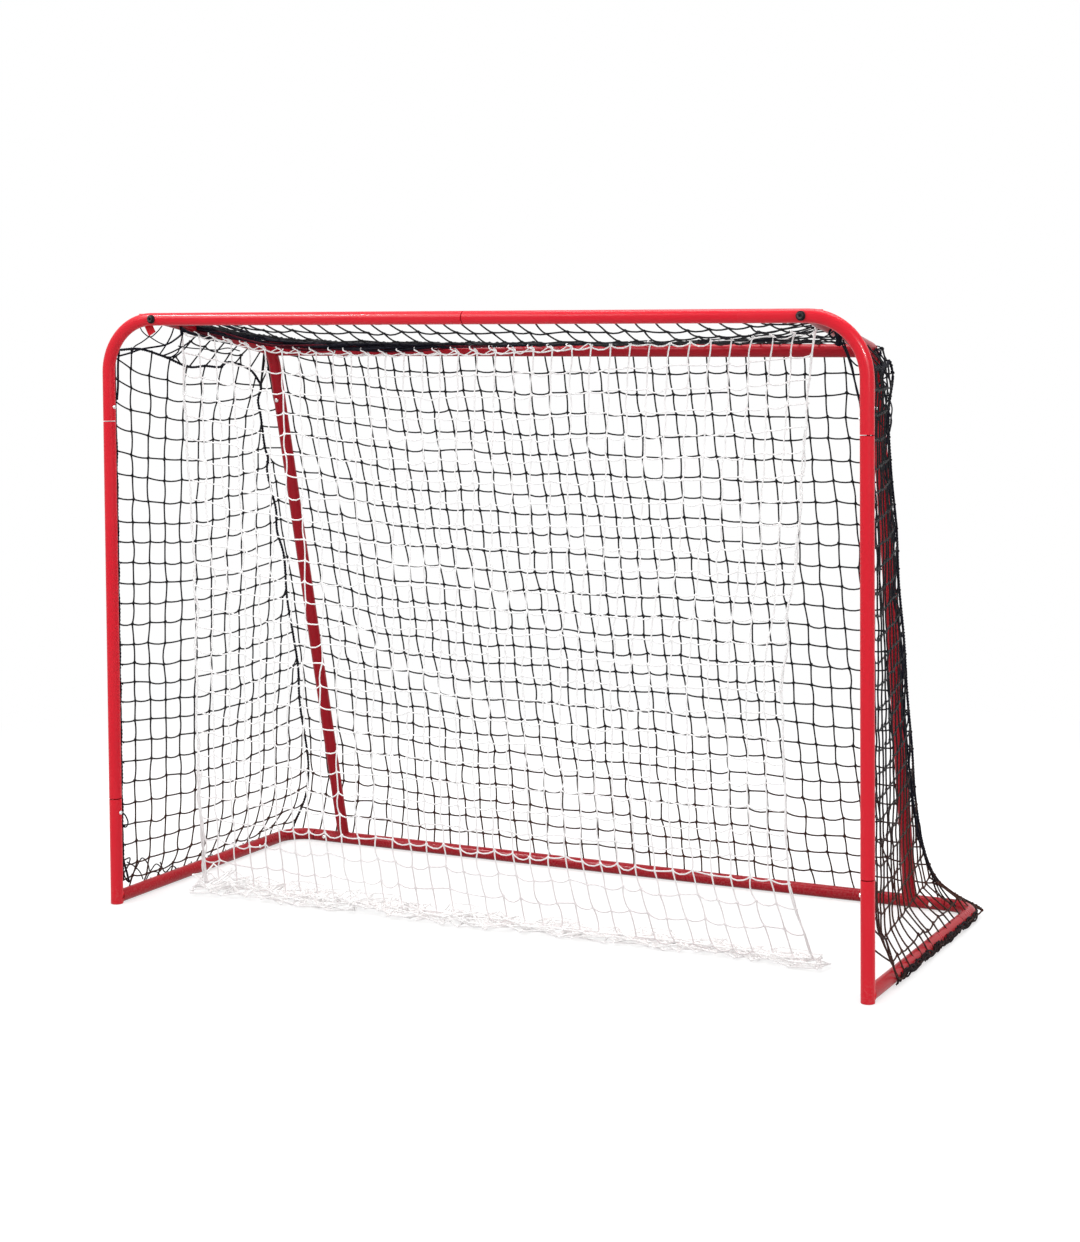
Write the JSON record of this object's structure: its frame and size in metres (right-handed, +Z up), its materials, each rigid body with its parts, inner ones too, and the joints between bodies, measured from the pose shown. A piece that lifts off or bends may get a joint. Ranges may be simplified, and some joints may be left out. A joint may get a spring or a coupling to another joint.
{
  "type": "knock-down indoor goal",
  "caption": "Free-standing indoor goal: a bent red steel tube frame that plugs together with snap buttons, black outer nets and a white drop net hung from a head rope.",
  "frame": {"origin": "on the floor, under the middle of the goal's overall box", "axes": "+Z up, +X along the crossbar to the goal's right as a player in front of it sees it, +Y from the mouth to the back; the mouth faces -Y"},
  "size_m": [1.6081, 0.6811, 1.1871],
  "materials": {
    "bright_red_paint": "glossy bright red powder coat",
    "deep_red_paint": "glossy deep red powder coat",
    "zinc_steel": "bright zinc plate",
    "black_plastic": "matte black moulding",
    "black_steel": "black oxide",
    "black_cord": "black knotted twine",
    "white_cord": "white knotted twine"
  },
  "bodies": {
    "frame": {"left_crossbar_half": "bright_red_paint", "right_crossbar_half": "bright_red_paint", "left_post": "bright_red_paint", "right_post": "bright_red_paint", "left_base_side": "bright_red_paint", "right_base_side": "bright_red_paint", "left_arm_end_plate": "bright_red_paint", "right_arm_end_plate": "bright_red_paint", "left_rear_corner": "deep_red_paint", "right_rear_corner": "deep_red_paint", "rear_base_bar": "deep_red_paint", "left_roof_bend": "deep_red_paint", "right_roof_bend": "deep_red_paint", "left_upright": "deep_red_paint", "right_upright": "deep_red_paint", "rear_roof_bar": "deep_red_paint", "left_arm_nut": "zinc_steel", "right_arm_nut": "zinc_steel", "left_saddle_washer": "black_plastic", "right_saddle_washer": "black_plastic", "left_arm_bolt": "black_steel", "right_arm_bolt": "black_steel", "left_corner_cord": "black_cord", "right_corner_cord": "black_cord", "left_post_cord": "black_cord", "right_post_cord": "black_cord", "back_net": "black_cord", "roof_net": "black_cord", "left_side_net": "black_cord", "right_side_net": "black_cord", "head_rope": "black_cord"},
    "crossbar_button": {"crossbar_snap_button": "zinc_steel"},
    "left_post_upper_button": {"left_post_upper_snap_button": "zinc_steel"},
    "right_post_upper_button": {"right_post_upper_snap_button": "zinc_steel"},
    "left_post_lower_button": {"left_post_lower_snap_button": "zinc_steel"},
    "right_post_lower_button": {"right_post_lower_snap_button": "zinc_steel"},
    "left_side_tube_button": {"left_side_tube_snap_button": "zinc_steel"},
    "right_side_tube_button": {"right_side_tube_snap_button": "zinc_steel"},
    "left_rear_bar_button": {"left_rear_bar_snap_button": "zinc_steel"},
    "right_rear_bar_button": {"right_rear_bar_snap_button": "zinc_steel"},
    "left_upright_button": {"left_upright_snap_button": "zinc_steel"},
    "right_upright_button": {"right_upright_snap_button": "zinc_steel"},
    "hanging_net": {"drop_net": "white_cord", "drop_net_hem": "white_cord"}
  },
  "joints": [
    {"name": "crossbar_button_press", "type": "hinge", "parent": "frame", "child": "crossbar_button", "pos_m": [-0.044, -0.31336, 1.1685], "axis": [0, 0, -1], "range_deg": [0, 7.9], "stiffness_Nm_per_rad": 2},
    {"name": "left_post_upper_button_press", "type": "hinge", "parent": "frame", "child": "left_post_upper_button", "pos_m": [-0.77916, -0.3217, 1.027], "axis": [0, 1, 0], "range_deg": [0, 7.9], "stiffness_Nm_per_rad": 2},
    {"name": "right_post_upper_button_press", "type": "hinge", "parent": "frame", "child": "right_post_upper_button", "pos_m": [0.77916, -0.3217, 1.027], "axis": [0, -1, 0], "range_deg": [0, 7.9], "stiffness_Nm_per_rad": 2},
    {"name": "left_post_lower_button_press", "type": "hinge", "parent": "frame", "child": "left_post_lower_button", "pos_m": [-0.77916, -0.3217, 0.152], "axis": [0, -1, 0], "range_deg": [0, 7.9], "stiffness_Nm_per_rad": 2},
    {"name": "right_post_lower_button_press", "type": "hinge", "parent": "frame", "child": "right_post_lower_button", "pos_m": [0.77916, -0.3217, 0.152], "axis": [0, 1, 0], "range_deg": [0, 7.9], "stiffness_Nm_per_rad": 2},
    {"name": "left_side_tube_button_press", "type": "hinge", "parent": "frame", "child": "left_side_tube_button", "pos_m": [-0.77916, 0.1413, 0.0125], "axis": [0, 0, 1], "range_deg": [0, 7.9], "stiffness_Nm_per_rad": 2},
    {"name": "right_side_tube_button_press", "type": "hinge", "parent": "frame", "child": "right_side_tube_button", "pos_m": [0.77916, 0.1413, 0.0125], "axis": [0, 0, -1], "range_deg": [0, 7.9], "stiffness_Nm_per_rad": 2},
    {"name": "left_rear_bar_button_press", "type": "hinge", "parent": "frame", "child": "left_rear_bar_button", "pos_m": [-0.666, 0.31596, 0.0125], "axis": [0, 0, -1], "range_deg": [0, 7.9], "stiffness_Nm_per_rad": 2},
    {"name": "right_rear_bar_button_press", "type": "hinge", "parent": "frame", "child": "right_rear_bar_button", "pos_m": [0.666, 0.31596, 0.0125], "axis": [0, 0, 1], "range_deg": [0, 7.9], "stiffness_Nm_per_rad": 2},
    {"name": "left_upright_button_press", "type": "hinge", "parent": "frame", "child": "left_upright_button", "pos_m": [-0.66324, 0.08676, 1.02571], "axis": [0.9999, 0, 0.0101], "range_deg": [0, 7.9], "stiffness_Nm_per_rad": 2},
    {"name": "right_upright_button_press", "type": "hinge", "parent": "frame", "child": "right_upright_button", "pos_m": [0.66324, 0.08676, 1.02571], "axis": [0.9999, 0, -0.0101], "range_deg": [0, 7.9], "stiffness_Nm_per_rad": 2},
    {"name": "drop_net_swing", "type": "hinge", "parent": "frame", "child": "hanging_net", "pos_m": [0, -0.1967, 1.10717], "axis": [1, 0, 0], "range_deg": [-10, 15]}
  ]
}
